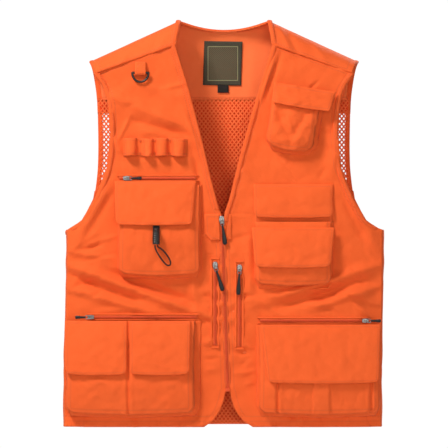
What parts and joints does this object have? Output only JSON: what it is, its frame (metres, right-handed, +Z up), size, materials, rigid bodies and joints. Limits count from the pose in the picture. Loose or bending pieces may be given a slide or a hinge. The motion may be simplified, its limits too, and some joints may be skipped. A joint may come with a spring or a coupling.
{
  "type": "blaze orange utility vest",
  "caption": "Sleeveless blaze orange field vest with a zipped front, flap pockets, zip pockets, pen loops, a D-ring and a mesh lining.",
  "frame": {"origin": "centre of the inside of the back neck edge, where a peg or hanger holds the vest", "axes": "+Z up, the front faces -Y, +X is the wearer's left"},
  "size_m": [0.546, 0.1165, 0.6905],
  "materials": {
    "orange_shell": "matte",
    "orange_binding": "matte",
    "orange_mesh": "matte",
    "zip_tape": "matte",
    "steel": "satin",
    "black_grip": "matte",
    "black_plastic": "satin",
    "black_webbing": "matte",
    "black_cord": "matte",
    "label_cloth": "matte"
  },
  "bodies": {
    "vest_body": {"back_panel": "orange_shell", "back_yoke": "orange_shell", "back_yoke_lining": "orange_shell", "right_front_panel": "orange_shell", "left_front_panel": "orange_shell", "right_front_yoke": "orange_shell", "left_front_yoke": "orange_shell", "right_side_panel": "orange_shell", "left_side_panel": "orange_shell", "right_chest_pocket": "orange_shell", "small_pocket": "orange_shell", "mid_pocket": "orange_shell", "right_lower_pocket": "orange_shell", "left_lower_pocket": "orange_shell", "utility_loops": "orange_shell", "d_ring_tab": "orange_shell", "right_armhole_binding": "orange_binding", "left_armhole_binding": "orange_binding", "neck_binding": "orange_binding", "back_mesh_lining": "orange_mesh", "right_chest_zip": "zip_tape", "right_lower_zip": "zip_tape", "left_lower_zip": "zip_tape", "cord_lock_barrel": "black_plastic", "cord_lock_tab": "black_webbing", "cord_loop": "black_cord", "label_patch": "label_cloth"},
    "right_placket": {"right_placket": "orange_shell", "main_zip_right": "zip_tape", "zip_tab": "orange_shell", "right_vertical_zip": "zip_tape"},
    "left_placket": {"left_placket": "orange_shell", "main_zip_left": "zip_tape", "zip_tab_base": "orange_shell", "left_vertical_zip": "zip_tape"},
    "main_slider": {"main_zip_slider": "steel"},
    "main_pull": {"main_zip_pull": "black_grip"},
    "right_vertical_slider": {"right_vertical_slider": "steel"},
    "right_vertical_pull": {"right_vertical_pull": "black_grip"},
    "left_vertical_slider": {"left_vertical_slider": "steel"},
    "left_vertical_pull": {"left_vertical_pull": "black_grip"},
    "right_chest_slider": {"right_chest_slider": "steel"},
    "right_chest_pull": {"right_chest_pull": "black_grip"},
    "right_lower_slider": {"right_lower_slider": "steel"},
    "right_lower_pull": {"right_lower_pull": "black_grip"},
    "left_lower_slider": {"left_lower_slider": "steel"},
    "left_lower_pull": {"left_lower_pull": "black_grip"},
    "right_chest_flap": {"right_chest_flap": "orange_shell"},
    "small_pocket_flap": {"small_pocket_flap": "orange_shell"},
    "mid_pocket_upper_flap": {"mid_pocket_upper_flap": "orange_shell"},
    "mid_pocket_lower_flap": {"mid_pocket_lower_flap": "orange_shell"},
    "right_lower_flap_a": {"right_lower_flap_a": "orange_shell"},
    "right_lower_flap_b": {"right_lower_flap_b": "orange_shell"},
    "left_lower_flap": {"left_lower_flap": "orange_shell"},
    "d_ring": {"d_ring": "black_plastic"},
    "cord_lock_plunger": {"cord_lock_plunger": "black_plastic"}
  },
  "joints": [
    {"name": "right_front_opening", "type": "hinge", "parent": "vest_body", "child": "right_placket", "pos_m": [-0.034, -0.0625, -0.481], "axis": [0, 0, -1], "range_deg": [0, 70]},
    {"name": "left_front_opening", "type": "hinge", "parent": "vest_body", "child": "left_placket", "pos_m": [0.042, -0.0625, -0.481], "axis": [0, 0, 1], "range_deg": [0, 70]},
    {"name": "main_slider_travel", "type": "slide", "parent": "right_placket", "child": "main_slider", "axis": [0.0359, 0, -0.9994], "range_m": [0, 0.275]},
    {"name": "main_pull_swing", "type": "hinge", "parent": "main_slider", "child": "main_pull", "pos_m": [-0.00379, -0.0671, -0.3276], "axis": [-1, 0, 0], "range_deg": [0, 170]},
    {"name": "right_vertical_slider_travel", "type": "slide", "parent": "right_placket", "child": "right_vertical_slider", "axis": [0, 0, -1], "range_m": [0, 0.118]},
    {"name": "right_vertical_pull_swing", "type": "hinge", "parent": "right_vertical_slider", "child": "right_vertical_pull", "pos_m": [-0.015, -0.0683, -0.4056], "axis": [-1, 0, 0], "range_deg": [0, 160]},
    {"name": "left_vertical_slider_travel", "type": "slide", "parent": "left_placket", "child": "left_vertical_slider", "axis": [0, 0, -1], "range_m": [0, 0.115]},
    {"name": "left_vertical_pull_swing", "type": "hinge", "parent": "left_vertical_slider", "child": "left_vertical_pull", "pos_m": [0.0265, -0.0683, -0.4106], "axis": [-1, 0, 0], "range_deg": [0, 160]},
    {"name": "right_chest_slider_travel", "type": "slide", "parent": "vest_body", "child": "right_chest_slider", "axis": [1, 0, 0], "range_m": [0, 0.108]},
    {"name": "right_chest_pull_swing", "type": "hinge", "parent": "right_chest_slider", "child": "right_chest_pull", "pos_m": [-0.1655, -0.07135, -0.2565], "axis": [0, 0, -1], "range_deg": [0, 170]},
    {"name": "right_lower_slider_travel", "type": "slide", "parent": "vest_body", "child": "right_lower_slider", "axis": [1, 0, 0], "range_m": [0, 0.142]},
    {"name": "right_lower_pull_swing", "type": "hinge", "parent": "right_lower_slider", "child": "right_lower_pull", "pos_m": [-0.2265, -0.07135, -0.4925], "axis": [0, 0, 1], "range_deg": [0, 170]},
    {"name": "left_lower_slider_travel", "type": "slide", "parent": "vest_body", "child": "left_lower_slider", "axis": [-1, 0, 0], "range_m": [0, 0.145]},
    {"name": "left_lower_pull_swing", "type": "hinge", "parent": "left_lower_slider", "child": "left_lower_pull", "pos_m": [0.2405, -0.07135, -0.4985], "axis": [0, 0, -1], "range_deg": [0, 170]},
    {"name": "right_chest_flap_lift", "type": "hinge", "parent": "vest_body", "child": "right_chest_flap", "pos_m": [0, -0.07505, -0.2625], "axis": [-1, 0, 0], "range_deg": [0, 140]},
    {"name": "small_pocket_flap_lift", "type": "hinge", "parent": "vest_body", "child": "small_pocket_flap", "pos_m": [0.08328, -0.07505, -0.09498], "axis": [-0.9871, 0, 0.1599], "range_deg": [0, 140]},
    {"name": "mid_pocket_upper_flap_lift", "type": "hinge", "parent": "vest_body", "child": "mid_pocket_upper_flap", "pos_m": [0, -0.06885, -0.2675], "axis": [-1, 0, 0], "range_deg": [0, 140]},
    {"name": "mid_pocket_lower_flap_lift", "type": "hinge", "parent": "vest_body", "child": "mid_pocket_lower_flap", "pos_m": [0, -0.07725, -0.341], "axis": [-1, 0, 0], "range_deg": [0, 140]},
    {"name": "right_lower_flap_a_lift", "type": "hinge", "parent": "vest_body", "child": "right_lower_flap_a", "pos_m": [0, -0.07505, -0.4995], "axis": [-1, 0, 0], "range_deg": [0, 140]},
    {"name": "right_lower_flap_b_lift", "type": "hinge", "parent": "vest_body", "child": "right_lower_flap_b", "pos_m": [0, -0.07505, -0.4995], "axis": [-1, 0, 0], "range_deg": [0, 140]},
    {"name": "left_lower_flap_lift", "type": "hinge", "parent": "vest_body", "child": "left_lower_flap", "pos_m": [0, -0.07505, -0.5055], "axis": [-1, 0, 0], "range_deg": [0, 140]},
    {"name": "d_ring_swing", "type": "hinge", "parent": "vest_body", "child": "d_ring", "pos_m": [-0.142, -0.0687, -0.0775], "axis": [-1, 0, 0], "range_deg": [0, 115]},
    {"name": "cord_lock_press", "type": "slide", "parent": "vest_body", "child": "cord_lock_plunger", "axis": [0, 0, -1], "range_m": [0, 0.0035], "stiffness_N_per_m": 300}
  ]
}
